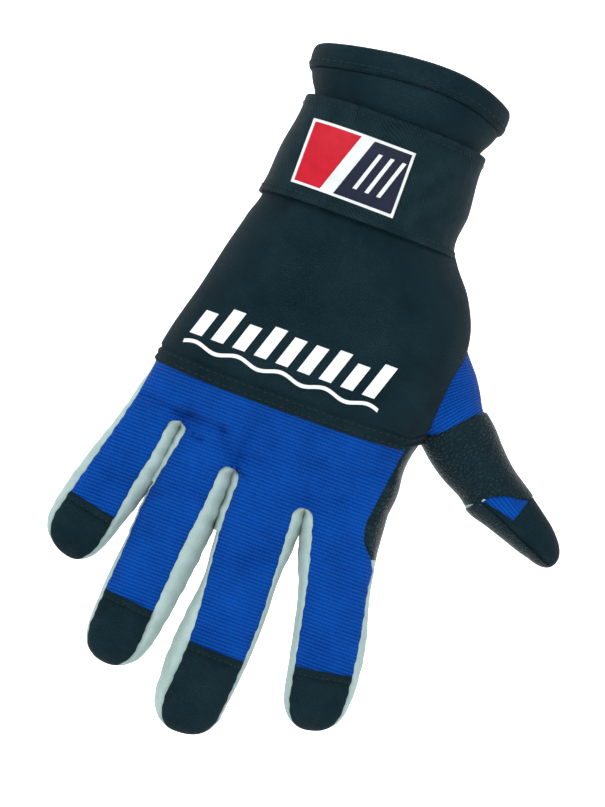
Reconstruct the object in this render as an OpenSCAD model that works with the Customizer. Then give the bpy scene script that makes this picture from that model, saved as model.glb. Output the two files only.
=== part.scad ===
// Right-hand sailing glove with full fingers, a long cuff and a hook-and-loop wrist strap.
// Frame: origin at the centre of the wrist opening, +Z out of the opening along the forearm,
// fingers towards -Z, back of the hand towards -Y, palm towards +Y, thumb towards +X.
// All sizes are millimetres. Every cloth panel is a solid of the cloth's own thickness, cut
// from one continuous glove-shaped wall, so that neighbouring panels meet face to face.

/* [Cuff] */
// Width of the wrist opening, outside
cuff_w = 69; // [66:0.5:72]
// Depth of the wrist opening, outside
cuff_d = 49; // [47:0.5:51]
// Rise of the opening's middle above its sides
rim_rise = 7; // [3:0.5:9]
// Height of the folded hem
hem_h = 8; // [6:0.5:9]
// Distance from the opening to the wrist crease
cuff_len = 60; // [59:0.5:61]

/* [Strap] */
// Height of the wrist strap
strap_h = 36.5; // [30:0.5:36.5]
// Distance from the opening to the strap's upper edge
strap_top = 20.5; // [20.5:0.5:22]
// Thickness of the strap
strap_t = 2; // [1.6:0.1:2.2]
// Where the strap's free end begins, across the hand
tab_x = 24; // [20:0.5:25]

/* [Fabric] */
// Thickness of the glove's wall
wall = 2.4; // [1.8:0.1:2.8]
// Thickness of the reinforcing patches
patch_t = 1.2; // [0.8:0.1:1.5]
// Thickness of the printed marks
print_t = 0.4; // [0.3:0.1:0.6]

/* [Fingers] */
// Length of the little finger from its crotch
little_len = 57; // [52:0.5:60]
// Length of the ring finger
ring_len = 83; // [78:0.5:86]
// Length of the middle finger
middle_len = 90; // [84:0.5:93]
// Length of the index finger
index_len = 72.5; // [68:0.5:76]
// Depth of each finger at its crotch, back to palm
finger_d = 19; // [17:0.5:20]
// Depth of each finger near its tip
tip_d = 15; // [13:0.5:16]
// Share of a finger's length from the crotch to its middle joint
middle_joint = 0.42; // [0.38:0.01:0.46]

/* [Thumb] */
// Length of the thumb from its root
thumb_len = 56; // [52:0.5:58]
// Width of the thumb at its root
thumb_w = 23.5; // [22:0.5:24]
// Angle of the thumb away from the fingers' direction
thumb_splay = 57; // [54:1:60]
// Turn of the thumb about its own length
thumb_roll = 30; // [20:1:35]

/* [Hidden] */
FINGERS = ["little", "ring", "middle", "index"];
NODES = [
  "cuff_back", "cuff_palm", "cuff_hem", "wrist_elastic", "strap_base", "loop_patch",
  "strap_band", "strap_label", "strap_tab", "hook_patch",
  "back_panel", "back_hem", "back_print", "knuckle_panel", "crotch_gussets", "palm_panel",
  "palm_patch", "heel_patch", "index_side_patch", "thumb_gusset", "thumb_root_patch",
  for (f = FINGERS) each [
    str(f, "_back"), str(f, "_palm"), str(f, "_sides"),
    str(f, "_tip_back"), str(f, "_tip_cap"), str(f, "_tip_palm"), str(f, "_tip_sides")],
  "thumb_wrap", "thumb_base_palm",
  "thumb_tip_window", "thumb_tip_cap", "thumb_tip_pad", "thumb_tip_sides"];
node = "all";

NEOPRENE = "#1b2a30";
KNIT = "#0846b4";
SUEDE = "#a9c4bf";
GRIP = "#232f33";
WEBBING = "#17242a";

ROUND = 2.6;        // superellipse power of every cross-section: 2 is an ellipse
HAND_RING = 28;     // points round the hand
DIGIT_RING = 20;    // points round a finger
GAP = 0.3;          // room between two bodies at a joint
BIG = 200;          // longer than any part of the glove
STRAP_GAP = 1.4;    // room under the strap for the two closure patches
PILE = 0.6;         // thickness of the hook patch and of the loop patch
SEAM = 3.2;         // depth of a finger seam below the back and palm faces
SIDE_Y = 3;         // side seam of the hand, below its middle
KNUCKLE_Z = -126;   // seam between the back panel and the knuckle panel
WEB_Y = 5;          // half depth of the gussets in the crotches

// ---------- Lofts ----------

function sign_of(v) = v < 0 ? -1 : 1;
function power(v, e) = sign_of(v) * pow(abs(v), e);

// Station: [height, left, right, back, palm, slope along x, bow across x].
// Its ring is a superellipse grown outwards by o.
function ring(s, o, n) =
  let (cx = (s[1] + s[2]) / 2, cy = (s[3] + s[4]) / 2)
  let (a = (s[2] - s[1]) / 2 + o, b = (s[4] - s[3]) / 2 + o)
  [for (i = [0:n - 1])
    let (t = 360 * i / n, u = power(cos(t), 2 / ROUND), v = power(sin(t), 2 / ROUND))
    [cx + a * u, cy + b * v, s[0] + s[5] * (cx + a * u) + s[6] * (1 - u * u)]];

module span(lower, upper) {
  points = concat(lower, upper);
  hull() polyhedron(points = points, faces = [[for (i = [0:len(points) - 1]) i]]);
}

module loft(stations, o, n) {
  for (k = [0:len(stations) - 2])
    span(ring(stations[k], o, n), ring(stations[k + 1], o, n));
}

// A prism over an outline in the x-z plane, from y0 to y1.
module plan(outline, y0, y1) {
  translate([0, y1, 0]) rotate([90, 0, 0]) linear_extrude(y1 - y0) polygon(outline);
}

module slab(z0, z1, y0 = -BIG, y1 = BIG, x0 = -BIG, x1 = BIG) {
  translate([x0, y0, z0]) cube([x1 - x0, y1 - y0, z1 - z0]);
}

// ---------- Hand and cuff ----------

WRIST_Z = -cuff_len;
STRAP_LOW = -strap_top - strap_h;
CROTCH_SLOPE = -0.17;

CUFF_STATIONS = [
  [-2, -cuff_w / 2, cuff_w / 2, -cuff_d / 2, cuff_d / 2, 0, rim_rise],
  [-10, -cuff_w / 2 + 0.5, cuff_w / 2 - 0.5, -cuff_d / 2 + 0.5, cuff_d / 2 - 0.5, 0, 0],
  [-18.5, -30.8, 30.8, -22.5, 22.5, 0, 0],
  [-21, -28.6, 28.6, -20.8, 20.8, 0, 0],
  [-56.5, -33.2, 30.8, -21, 20.5, 0, 0],
  [WRIST_Z, -35.5, 35, -22, 21.5, 0, 0]];
HAND_STATIONS = [
  [WRIST_Z, -35.5, 35, -22, 21.5, 0, 0],
  [-68, -38, 42, -22, 22, 0, 0],
  [-80, -40.5, 46.5, -21, 22, 0, 0],
  [-95, -44, 48.5, -19.5, 21, 0, 0],
  [-110, -48.5, 47.5, -18, 18.5, 0, 0],
  [KNUCKLE_Z, -50.5, 43, -15.5, 15, 0, 0],
  [-145.8, -54.5, 42.5, -11.5, 10.5, CROTCH_SLOPE, 0]];

// Digit: [x, y, z of its root's centre, tilt, roll, length, middle joint, cap seam,
//         root width, tip width, root depth, tip depth]
function digit(f) =
  f == "little" ? [-45.4, 0, -141, -12, 0, little_len, middle_joint * little_len,
                   little_len - 19, 20.6, 20, finger_d, tip_d] :
  f == "ring"   ? [-23.8, 0, -145, -5, 0, ring_len, middle_joint * ring_len,
                   ring_len - 23, 22, 21, finger_d, tip_d] :
  f == "middle" ? [1.2, 0, -152, -1, 0, middle_len, middle_joint * middle_len,
                   middle_len - 31, 25, 22.5, finger_d, tip_d] :
  f == "index"  ? [29.8, 0, -155, 9.5, 0, index_len, middle_joint * index_len,
                   index_len - 22, 25, 22, finger_d, tip_d] :
                  [55.5, 3, -111.5, thumb_splay, thumb_roll, thumb_len, 24,
                   34, thumb_w, 15.5, 20.5, 14];

// Places its children in the digit's own frame: its root's centre is the origin, its length
// runs to -z, its palm side faces +y.
module at_digit(d) {
  translate([d[0], d[1], d[2]]) rotate([0, -d[3], 0]) rotate([0, 0, d[4]]) children();
}

// Distance along the digit as a station. The palm face is flat, so only the back tapers.
function digit_station(d, t, squeeze = 1) =
  let (share = min(1, t / (d[5] - d[11] / 2)))
  let (w = (d[8] + (d[9] - d[8]) * share) * squeeze, h = d[10] + (d[11] - d[10]) * share)
  let (mid = d[10] / 2 - h / 2)
  [-t, -w / 2, w / 2, mid - h / 2 * squeeze, mid + h / 2 * squeeze, 0, 0];

DOME = [0, 0.35, 0.6, 0.8, 0.95];   // shares of the fingertip's rounded end
function dome_length(d) = d[11] * 0.62;
function digit_stations(d, from, o) = concat(
  [digit_station(d, from)],
  [for (u = DOME)
    let (t = d[5] - dome_length(d) + u * dome_length(d) + min(o, 0) * u)
    digit_station(d, t, sqrt(1 - u * u))]);

module digit_solid(d, from, o) {
  loft(digit_stations(d, from, o), o, DIGIT_RING);
}

module finger_root(d, o, to) {
  stations = [digit_station(d, -26), digit_station(d, -to)];
  at_digit(d) loft([[26, each [for (i = [1:6]) stations[0][i]]],
                    [-to, each [for (i = [1:6]) stations[1][i]]]], o, DIGIT_RING);
}

// The thumb's root grows out of the hand's side as it meets the thumb's hinge plane.
module thumb_root(o, to) {
  d = digit("thumb");
  hull() {
    at_digit(d) loft([digit_station(d, to - 1), digit_station(d, to)], o, DIGIT_RING);
    translate([d[0], d[1], d[2]]) rotate([0, -d[3], 0])
      loft([[31, -14, 23, -15, 12, 0, 0], [30, -14, 23, -15, 12, 0, 0]], o, DIGIT_RING);
  }
}

// Everything past a digit's hinge plane, kept free for the digit to turn in.
module digit_room(d, side) {
  at_digit(d) slab(-BIG, -GAP / 2, -BIG, BIG, -d[8] / 2 - side, d[8] / 2 + side);
}

function raised(s, up) = [s[0] + up, s[1], s[2], s[3], s[4], s[5], s[6]];

// Grown inwards, the hand's solid runs out through the wrist and the hinge planes, and
// leaves a web between the fingers as thick as the wall.
module hand_solid(o) {
  through = o < 0 ? 1 : 0;
  stations = concat([raised(HAND_STATIONS[0], 5 * through)],
                    [for (i = [1:len(HAND_STATIONS) - 2]) HAND_STATIONS[i]],
                    [raised(HAND_STATIONS[len(HAND_STATIONS) - 1], -o * through)]);
  difference() {
    union() {
      loft(stations, o, HAND_RING);
      for (f = FINGERS) finger_root(digit(f), o, through);
      thumb_root(o, through);
    }
    if (o >= 0) {
      for (f = FINGERS) digit_room(digit(f), 1.2);
      digit_room(digit("thumb"), 3);
    }
  }
}

// The hand's wall, open at the wrist and at the five hinge planes.
module hand_wall(o = 0, t = wall) {
  difference() {
    hand_solid(o);
    hand_solid(o - t);
    slab(WRIST_Z - GAP / 2, BIG);
  }
}

module cuff_solid(o) {
  loft(CUFF_STATIONS, o, HAND_RING);
}

// The cuff's wall, open at both ends.
module cuff_wall(o = 0, t = wall) {
  difference() {
    cuff_solid(o);
    loft(concat([raised(CUFF_STATIONS[0], 5)], CUFF_STATIONS), o - t, HAND_RING);
    slab(-BIG, WRIST_Z + GAP / 2);
  }
}

// ---------- Zones of the hand ----------

// Each zone takes its panel from the hand's wall, in this order.
module back_zone() {
  plan([[-80, KNUCKLE_Z], [43.5, KNUCKLE_Z], [46.5, -118], [48, -110], [49, -98],
        [48.5, -86], [47, -78], [52, -50], [-80, -50]], -BIG, SIDE_Y);
}

module thumb_zone() {
  plan([[46.8, -76], [70, -76], [90, -118], [60, -135], [44.5, -121.5], [44, -112]],
       -BIG, BIG);
}

module gusset_zone() {
  plan([[40, -70], [70, -70], [75, -95], [61, -103], [53, -110], [46, -117], [40, -117]],
       -BIG, SIDE_Y + 2);
}

module side_patch_zone() {
  plan([[43, -110], [60, -120], [60, -175], [38, -175], [36.5, -150], [39, -138],
        [41, KNUCKLE_Z]], -BIG, SIDE_Y + 4);
}

module knuckle_zone() {
  slab(-BIG, KNUCKLE_Z, -BIG, -WEB_Y);
}

module web_zone() {
  slab(-BIG, KNUCKLE_Z - 4, -WEB_Y, WEB_Y, -44, 29);
}

// ---------- Cuff ----------

module cuff_back() color(NEOPRENE) intersection() {
  cuff_wall();
  slab(-BIG, BIG, -BIG, SIDE_Y);
}

module cuff_palm() color(NEOPRENE) difference() {
  cuff_wall();
  slab(-BIG, BIG, -BIG, SIDE_Y);
}

// The opening's edge, turned over outwards and sewn down.
module cuff_hem() color(NEOPRENE) intersection() {
  cuff_wall(1, 1);
  loft([[BIG, -60, 60, -60, 60, 0, 0], [-2 - hem_h, -60, 60, -60, 60, 0, rim_rise]], 0,
       HAND_RING);
}

// Elastic sewn inside the palm side of the wrist, which gathers it under the strap.
module wrist_elastic() color(WEBBING) intersection() {
  cuff_wall(-wall, 0.9);
  slab(-46, -34, SIDE_Y + 2, BIG);
}

// ---------- Strap ----------

HINGE_Y = -8;       // where the strap leaves its sewn base at the little finger's side
TAB_END_Y = 5;      // where the free end stops on the thumb's side

module strap_layer(low, high) {
  difference() {
    cuff_solid(high);
    cuff_solid(low);
    slab(-strap_top, BIG);
    slab(-BIG, STRAP_LOW);
  }
}

module strap_base() color(WEBBING) difference() {
  strap_layer(0, STRAP_GAP + strap_t);
  slab(-BIG, BIG, -BIG, HINGE_Y + GAP);
  slab(-BIG, BIG, -BIG, BIG, -14, BIG);
}

module loop_patch() color(WEBBING) intersection() {
  strap_layer(0, PILE);
  slab(STRAP_LOW + 3, -strap_top - 3, -13, 13, 15, BIG);
}

module hook_patch() color(WEBBING) intersection() {
  strap_layer(STRAP_GAP - PILE, STRAP_GAP);
  slab(STRAP_LOW + 4, -strap_top - 4, -16, TAB_END_Y - 2, tab_x + 1, BIG);
}

module strap_shell() {
  strap_layer(STRAP_GAP, STRAP_GAP + strap_t);
}

module strap_band() color(WEBBING) intersection() {
  strap_shell();
  slab(-BIG, BIG, -BIG, HINGE_Y, -BIG, tab_x - GAP / 2);
}

module strap_tab() color(WEBBING) intersection() {
  strap_shell();
  slab(-BIG, BIG, -BIG, TAB_END_Y, tab_x + GAP / 2, BIG);
}

module strap_label() color("#c8102e") intersection() {
  strap_layer(STRAP_GAP + strap_t, STRAP_GAP + strap_t + 0.7);
  plan([[-27, -50.5], [9.5, -51], [9.5, -29.5], [-27, -29]], -BIG, 0);
}

// ---------- Hand ----------

module back_panel() color(NEOPRENE) intersection() {
  hand_wall();
  back_zone();
}

// The back panel's lower edge, folded double and sewn over the knuckle panel.
module back_hem() color(NEOPRENE) intersection() {
  hand_wall(0.8, 0.8);
  plan([[-80, KNUCKLE_Z + 1], [41, KNUCKLE_Z + 1], [43, KNUCKLE_Z + 5.5],
        [-80, KNUCKLE_Z + 5.5]], -BIG, -6);
}

// A row of slanted bars, printed across the back of the hand.
PRINT_BARS = 9;
module back_print() color("white") intersection() {
  hand_wall(print_t, print_t);
  for (i = [0:PRINT_BARS - 1])
    let (x = -42 + i * 7.9, high = 13 - 0.9 * abs(i - (PRINT_BARS - 1) / 2))
    plan([[x, -113.5], [x + 4.6, -113.5], [x + 4.6 + high / 3, -113.5 + high],
          [x + high / 3, -113.5 + high]], -BIG, 0);
}

module knuckle_panel() color(KNIT) difference() {
  intersection() {
    hand_wall();
    knuckle_zone();
  }
  thumb_zone();
  side_patch_zone();
}

module crotch_gussets() color(SUEDE) intersection() {
  hand_wall();
  web_zone();
}

module index_side_patch() color(GRIP) difference() {
  intersection() {
    hand_wall();
    side_patch_zone();
  }
  back_zone();
  thumb_zone();
}

module thumb_gusset() color(KNIT) difference() {
  intersection() {
    hand_wall();
    thumb_zone();
    gusset_zone();
  }
  back_zone();
}

module thumb_root_patch() color(GRIP) difference() {
  intersection() {
    hand_wall();
    thumb_zone();
  }
  back_zone();
  gusset_zone();
}

module palm_panel() color(SUEDE) difference() {
  hand_wall();
  back_zone();
  thumb_zone();
  side_patch_zone();
  knuckle_zone();
  web_zone();
}

// Reinforcement sewn over the palm, from the index finger across to the little finger.
module palm_patch() color(GRIP) intersection() {
  hand_wall(patch_t, patch_t);
  plan([[-42, -126], [-32, -132], [34, -136], [40, -126], [38, -112], [20, -102],
        [-10, -104], [-36, -112]], SIDE_Y + 3, BIG);
}

// Reinforcement sewn over the heel of the palm.
module heel_patch() color(GRIP) intersection() {
  hand_wall(patch_t, patch_t);
  plan([[-34, -74], [-12, -72], [-8, -86], [-14, -100], [-32, -104], [-40, -96]],
       SIDE_Y + 3, BIG);
}

// ---------- Digits ----------

module digit_wall(d) {
  difference() {
    digit_solid(d, 0, 0);
    digit_solid(d, -1, -wall);
  }
}

// The back face's cutting block, which follows the taper.
module back_face(d) {
  taper = atan((d[10] - d[11]) / (d[5] - d[11] / 2));
  translate([0, -d[10] / 2 + SEAM, 0]) rotate([taper, 0, 0]) slab(-BIG, BIG, -BIG, 0);
}

module palm_face(d) {
  slab(-BIG, BIG, d[10] / 2 - SEAM, BIG);
}

module tip_end(d, side) {
  mid = d[10] / 2 - d[11] / 2;
  slab(-BIG, -d[5] + dome_length(d), side < 0 ? -BIG : mid, side < 0 ? mid : BIG);
}

function dome_start(d) = -d[5] + dome_length(d);

module segment(d, from, to) {
  slab(-to, -from);
}

module root_segment(d) { segment(d, GAP / 2, d[6] - GAP / 2); }
module tip_segment(d) { segment(d, d[6] + GAP / 2, BIG); }

module digit_back(d, tone) color(tone) at_digit(d) intersection() {
  digit_wall(d);
  root_segment(d);
  back_face(d);
}

module digit_palm(d, tone) color(tone) at_digit(d) intersection() {
  digit_wall(d);
  root_segment(d);
  palm_face(d);
}

module digit_sides(d, tone) color(tone) at_digit(d) difference() {
  intersection() {
    digit_wall(d);
    root_segment(d);
  }
  back_face(d);
  palm_face(d);
}

module digit_tip_back(d, tone) color(tone) at_digit(d) intersection() {
  digit_wall(d);
  segment(d, d[6] + GAP / 2, d[7]);
  back_face(d);
}

module digit_tip_cap(d, tone) color(tone) at_digit(d) difference() {
  intersection() {
    digit_wall(d);
    segment(d, d[7], BIG);
    union() {
      back_face(d);
      tip_end(d, -1);
    }
  }
  tip_end(d, 1);
}

module digit_tip_palm(d, tone) color(tone) at_digit(d) difference() {
  intersection() {
    digit_wall(d);
    tip_segment(d);
    union() {
      palm_face(d);
      tip_end(d, 1);
    }
  }
  tip_end(d, -1);
}

module digit_tip_sides(d, tone) color(tone) at_digit(d) difference() {
  intersection() {
    digit_wall(d);
    tip_segment(d);
    slab(dome_start(d), BIG);
  }
  back_face(d);
  palm_face(d);
}

// The thumb's first length is wrapped: its back and both sides are one grip patch.
module thumb_wrap() color(GRIP) at_digit(digit("thumb")) difference() {
  intersection() {
    digit_wall(digit("thumb"));
    root_segment(digit("thumb"));
  }
  palm_face(digit("thumb"));
}

// ---------- Assembly ----------

function shown(name) = node == "all" || node == name;

if (shown("cuff_back")) cuff_back();
if (shown("cuff_palm")) cuff_palm();
if (shown("cuff_hem")) cuff_hem();
if (shown("wrist_elastic")) wrist_elastic();
if (shown("strap_base")) strap_base();
if (shown("loop_patch")) loop_patch();
if (shown("strap_band")) strap_band();
if (shown("strap_label")) strap_label();
if (shown("strap_tab")) strap_tab();
if (shown("hook_patch")) hook_patch();
if (shown("back_panel")) back_panel();
if (shown("back_hem")) back_hem();
if (shown("back_print")) back_print();
if (shown("knuckle_panel")) knuckle_panel();
if (shown("crotch_gussets")) crotch_gussets();
if (shown("palm_panel")) palm_panel();
if (shown("palm_patch")) palm_patch();
if (shown("heel_patch")) heel_patch();
if (shown("index_side_patch")) index_side_patch();
if (shown("thumb_gusset")) thumb_gusset();
if (shown("thumb_root_patch")) thumb_root_patch();
for (f = FINGERS) {
  if (shown(str(f, "_back"))) digit_back(digit(f), KNIT);
  if (shown(str(f, "_palm"))) digit_palm(digit(f), SUEDE);
  if (shown(str(f, "_sides"))) digit_sides(digit(f), SUEDE);
  if (shown(str(f, "_tip_back"))) digit_tip_back(digit(f), KNIT);
  if (shown(str(f, "_tip_cap"))) digit_tip_cap(digit(f), NEOPRENE);
  if (shown(str(f, "_tip_palm"))) digit_tip_palm(digit(f), SUEDE);
  if (shown(str(f, "_tip_sides"))) digit_tip_sides(digit(f), SUEDE);
}
if (shown("thumb_wrap")) thumb_wrap();
if (shown("thumb_base_palm")) digit_palm(digit("thumb"), GRIP);
if (shown("thumb_tip_window")) digit_tip_back(digit("thumb"), KNIT);
if (shown("thumb_tip_cap")) digit_tip_cap(digit("thumb"), NEOPRENE);
if (shown("thumb_tip_pad")) digit_tip_palm(digit("thumb"), GRIP);
if (shown("thumb_tip_sides")) digit_tip_sides(digit("thumb"), SUEDE);
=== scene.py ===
import math

import bmesh
import bpy
import numpy as np
from mathutils import Matrix, Vector


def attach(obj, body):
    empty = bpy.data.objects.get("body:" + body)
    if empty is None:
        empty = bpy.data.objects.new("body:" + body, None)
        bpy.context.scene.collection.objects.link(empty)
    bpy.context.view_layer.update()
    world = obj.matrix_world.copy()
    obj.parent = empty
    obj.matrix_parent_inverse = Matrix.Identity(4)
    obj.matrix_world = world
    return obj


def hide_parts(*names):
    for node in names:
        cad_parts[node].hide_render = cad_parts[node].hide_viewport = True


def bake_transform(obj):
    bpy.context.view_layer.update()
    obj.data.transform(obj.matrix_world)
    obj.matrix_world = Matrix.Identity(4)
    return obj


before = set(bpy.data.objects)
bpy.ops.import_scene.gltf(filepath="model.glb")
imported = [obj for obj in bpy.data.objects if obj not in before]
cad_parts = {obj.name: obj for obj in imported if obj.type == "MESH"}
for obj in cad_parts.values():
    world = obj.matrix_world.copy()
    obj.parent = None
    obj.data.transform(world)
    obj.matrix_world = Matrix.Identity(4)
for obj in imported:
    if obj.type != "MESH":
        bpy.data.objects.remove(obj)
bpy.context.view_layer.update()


# ---------------------------------------------------------------------------
# Cuff: a double-walled tube of black neoprene, and the hem folded round its bowed rim. All
# lengths in this file are millimetres until they go into a mesh.

MM = 0.001              # Blender's metres in a millimetre


def along(t, stations, values):
    """Value at t on the smooth curve through a table: between two stations a cubic whose
    slope at each station is the table's there, as np.gradient works it out. Past the ends
    the value stays."""
    stations, values = np.asarray(stations, float), np.asarray(values, float)
    t = np.clip(np.asarray(t, float), stations[0], stations[-1])
    slope = np.gradient(values, stations)
    i = np.clip(np.searchsorted(stations, t) - 1, 0, len(stations) - 2)
    h = stations[i + 1] - stations[i]
    x = (t - stations[i]) / h
    return ((1 + 2 * x) * (1 - x) ** 2 * values[i] + x * (1 - x) ** 2 * h * slope[i]
            + x * x * (3 - 2 * x) * values[i + 1] + x * x * (x - 1) * h * slope[i + 1])


def ease(x):
    """Smooth step from 0 at x = 0 to 1 at x = 1: 3x^2 - 2x^3."""
    x = np.clip(x, 0, 1)
    return x * x * (3 - 2 * x)


def signed_power(v, e):
    """|v| to the power e, with the sign of v."""
    return np.sign(v) * np.abs(v) ** e


def distance_along(path):
    """How far along a path each of its points lies, from 0 at the first."""
    return np.concatenate([[0], np.cumsum(np.linalg.norm(np.diff(path, axis=0), axis=1))])


def sewn_piece(name, points, faces, uv, material):
    """A smooth piece from points in mm, faces, and the cloth's own coordinates in mm, point by
    point."""
    mesh = bpy.data.meshes.new(name)
    mesh.from_pydata((points.reshape(-1, 3) * MM).tolist(), [], faces)
    corner = np.empty(len(mesh.loops), np.int32)
    mesh.loops.foreach_get("vertex_index", corner)
    layer = mesh.uv_layers.new(name="cloth")
    layer.data.foreach_set("uv", uv.reshape(-1, 2)[corner].astype(np.float32).ravel())
    mesh.polygons.foreach_set("use_smooth", np.ones(len(mesh.polygons), bool))
    mesh.materials.append(material)
    piece = bpy.data.objects.new(name, mesh)
    bpy.context.collection.objects.link(piece)
    return piece


def sheet(name, points, uv, material, wall=0.0, away=None, weld=False):
    """A piece from a grid of points (rows, columns, 3) in mm: each cell is a four-sided face.
    away is a direction that most faces look along; without it they look away from each
    row's middle. wall is the cloth's thickness, grown inwards from edges that stay sharp.
    weld joins seams and poles."""
    rows, cols = points.shape[:2]
    index = np.arange(rows * cols).reshape(rows, cols)
    quads = np.stack([index[:-1, :-1], index[:-1, 1:], index[1:, 1:], index[1:, :-1]], -1)
    quads = quads.reshape(-1, 4)
    p00, p01, p10, p11 = points[:-1, :-1], points[:-1, 1:], points[1:, :-1], points[1:, 1:]
    normal = np.cross(p11 - p00, p10 - p01)
    if away is None:
        away = (p00 + p11) / 2 - points.mean(axis=1)[:-1, None]
    if (normal * away).sum() < 0:
        quads = quads[:, ::-1]
    piece = sewn_piece(name, points, quads.tolist(), uv, material)
    mesh = piece.data
    if weld:
        bm = bmesh.new()
        bm.from_mesh(mesh)
        bmesh.ops.remove_doubles(bm, verts=bm.verts, dist=0.002 * MM)
        bmesh.ops.dissolve_degenerate(bm, edges=bm.edges, dist=0.0001 * MM)
        bm.to_mesh(mesh)
        bm.free()
    if wall:
        edge_of = np.empty(len(mesh.loops), np.int32)
        mesh.loops.foreach_get("edge_index", edge_of)
        rim = np.bincount(edge_of, minlength=len(mesh.edges)) == 1
        mesh.attributes.new("sharp_edge", "BOOLEAN", "EDGE").data.foreach_set("value", rim)
        grow = piece.modifiers.new("cloth_thickness", "SOLIDIFY")
        grow.thickness = wall * MM
        grow.offset = -1
    return piece


def node(tree, kind, settings=None, **sockets):
    """A shader node: settings are its properties, and each socket, named or numbered i0, i1,
    i2, gets a value or a link."""
    made = tree.nodes.new(kind)
    for key, value in (settings or {}).items():
        setattr(made, key, value)
    for key, value in sockets.items():
        socket = made.inputs[int(key[1:]) if key[0] == "i" and key[1:].isdigit()
                             else key.replace("_", " ")]
        if isinstance(value, bpy.types.NodeSocket):
            tree.links.new(value, socket)
        else:
            socket.default_value = value
    return made


def finish_material(name, colour, height, bump_mm, **shader):
    """A material around a tree that colour(tree, place) and height(tree, place) fill in: both
    take the tree and the cloth's own coordinates in mm, and return an output socket."""
    material = bpy.data.materials.new(name)
    material.use_nodes = True
    tree = material.node_tree
    tree.nodes.clear()
    place = node(tree, "ShaderNodeUVMap", {"uv_map": "cloth"}).outputs["UV"]
    relief = node(tree, "ShaderNodeBump", Strength=1.0, Distance=bump_mm * MM,
                  Height=height(tree, place))
    surface = node(tree, "ShaderNodeBsdfPrincipled", Base_Color=colour(tree, place),
                   Normal=relief.outputs["Normal"], **shader)
    node(tree, "ShaderNodeOutputMaterial", Surface=surface.outputs["BSDF"])
    return material


def noise(tree, place, per_mm, detail=3.0, rough=0.55):
    """Cloudy noise from 0 to 1, with so many lumps a millimetre."""
    return node(tree, "ShaderNodeTexNoise", Vector=place, Scale=per_mm, Detail=detail,
                Roughness=rough).outputs["Fac"]


def wave(tree, value, period):
    """0.5 + 0.5 sin(2 pi value / period)."""
    turn = node(tree, "ShaderNodeMath", {"operation": "MULTIPLY"}, i0=value,
                i1=2 * math.pi / period)
    sine = node(tree, "ShaderNodeMath", {"operation": "SINE"}, i0=turn.outputs[0])
    return node(tree, "ShaderNodeMath", {"operation": "MULTIPLY_ADD"}, i0=sine.outputs[0],
                i1=0.5, i2=0.5).outputs[0]


def sum_of(tree, a, b, share=1.0):
    """a + share times b."""
    return node(tree, "ShaderNodeMath", {"operation": "MULTIPLY_ADD"}, i0=b, i1=share,
                i2=a).outputs[0]


def product(tree, a, b):
    """a times b."""
    return node(tree, "ShaderNodeMath", {"operation": "MULTIPLY"}, i0=a, i1=b).outputs[0]


def axes_of(tree, place):
    """The two cloth coordinates, across and along."""
    split = node(tree, "ShaderNodeSeparateXYZ", Vector=place)
    return split.outputs["X"], split.outputs["Y"]


def between(tree, fac, low, high, start=0.0, end=1.0):
    """Colour from low, where fac is start or less, to high, where it is end or more."""
    ramp = node(tree, "ShaderNodeValToRGB", Fac=fac)
    ramp.color_ramp.elements[0].position, ramp.color_ramp.elements[1].position = start, end
    ramp.color_ramp.elements[0].color = (*low, 1)
    ramp.color_ramp.elements[1].color = (*high, 1)
    return ramp.outputs["Color"]


def jersey_height(tree, place):
    """Fine knitted jersey that faces the neoprene: columns of loops 0.55 mm apart and rows
    0.7 mm apart, over slow dents."""
    across, down = axes_of(tree, place)
    loops = sum_of(tree, wave(tree, across, 0.55), wave(tree, down, 0.7), 0.7)
    return sum_of(tree, loops, noise(tree, place, 0.35), 2.2)


def jersey_colour(tree, place):
    """Near-black with a blue-green cast, a little lighter where it is brushed or worn."""
    patchy = sum_of(tree, noise(tree, place, 0.06, 4.0), noise(tree, place, 1.6, 2.0), 0.35)
    return between(tree, patchy, (0.0025, 0.0095, 0.0135), (0.0075, 0.0195, 0.026), 0.45, 0.95)


neoprene = finish_material("neoprene_jersey", jersey_colour, jersey_height, 0.10,
                           Roughness=0.8, Sheen_Weight=0.03, Sheen_Roughness=0.4,
                           Specular_IOR_Level=0.14, Specular_Tint=(0.35, 0.75, 0.9, 1))

# The cuff's outline: x of its sides and depth of its back and palm at each height, and how far
# the rim is bowed up, against the place across it from -1 to 1.
ROUND = 2.6             # power of the cross-sections: 2 is an ellipse
CUFF_Z = [-60, -56.5, -40, -21, -18.5, -14, -10, -2]
CUFF_LEFT = [-35.5, -34.0, -31.8, -29.8, -30.3, -32.6, -34.0, -34.6]
CUFF_RIGHT = [35.0, 31.8, 30.6, 30.0, 30.6, 32.8, 34.1, 34.6]
CUFF_BACK = [22.0, 21.0, 20.9, 20.8, 21.6, 23.0, 24.0, 24.5]
CUFF_PALM = [21.5, 20.5, 20.6, 20.8, 21.6, 23.0, 24.0, 24.5]
RIM_ACROSS = [-1, -0.88, -0.65, -0.45, -0.15, 0.12, 0.34, 0.5, 0.7, 0.87, 1]
RIM_RISE = [-1.3, -1.1, -0.2, 0.7, 2.0, 2.7, 2.8, 2.5, 1.5, 0.1, -0.9]
CUFF_RADIUS = 30        # mean radius, for the cloth's coordinates


def span(z, stations, left, right):
    """Middle and half-width at a height, from the tables of two sides."""
    low, high = along(z, stations, left), along(z, stations, right)
    return (low + high) / 2, (high - low) / 2


def arch(x, middle, half):
    """Height at x, from 0 to 1, of the superellipse over a span: (1 - q^ROUND)^(1/ROUND),
    where q is the distance from the middle over the half-width."""
    q = np.clip(np.abs(x - middle) / half, 0, 1)
    return (1 - q ** ROUND) ** (1 / ROUND)


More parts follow.
